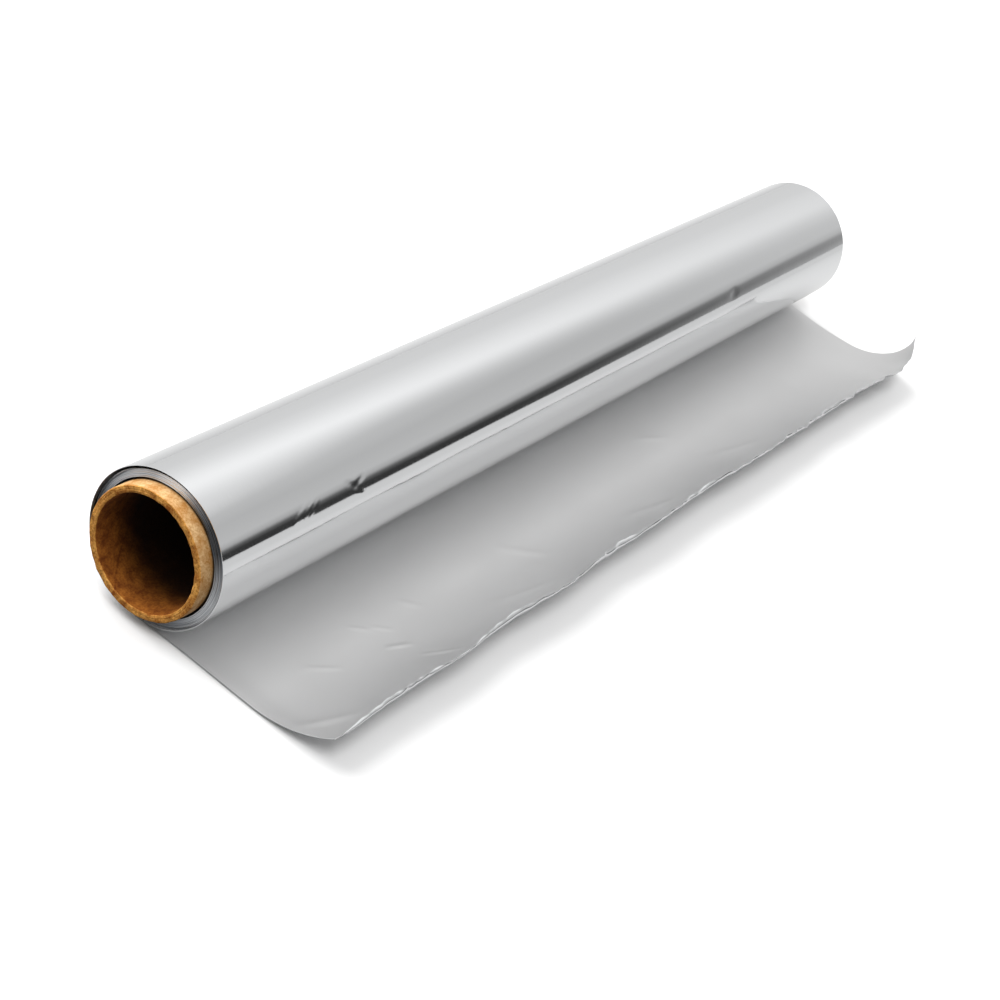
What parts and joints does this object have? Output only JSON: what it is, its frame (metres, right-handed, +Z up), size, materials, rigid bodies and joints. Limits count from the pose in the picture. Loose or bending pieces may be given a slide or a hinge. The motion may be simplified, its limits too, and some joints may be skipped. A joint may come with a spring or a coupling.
{
  "type": "aluminium foil roll",
  "caption": "Roll of household aluminium foil wound on a cardboard tube, lying down with its free end pulled out flat and its cut edge curled up.",
  "frame": {"origin": "middle of the whole object's footprint, on the surface that it lies on", "axes": "+X along the roll, away from the end that shows more core; +Z up; the free end of the sheet lies towards -Y"},
  "size_m": [0.305, 0.0732, 0.0363],
  "materials": {
    "foil": "rolled, bright on the outside of the roll and matte on the free end's upper side",
    "core_board": "wound brown board, bare"
  },
  "bodies": {
    "root": {"core": "core_board", "foil": "foil"}
  },
  "joints": []
}
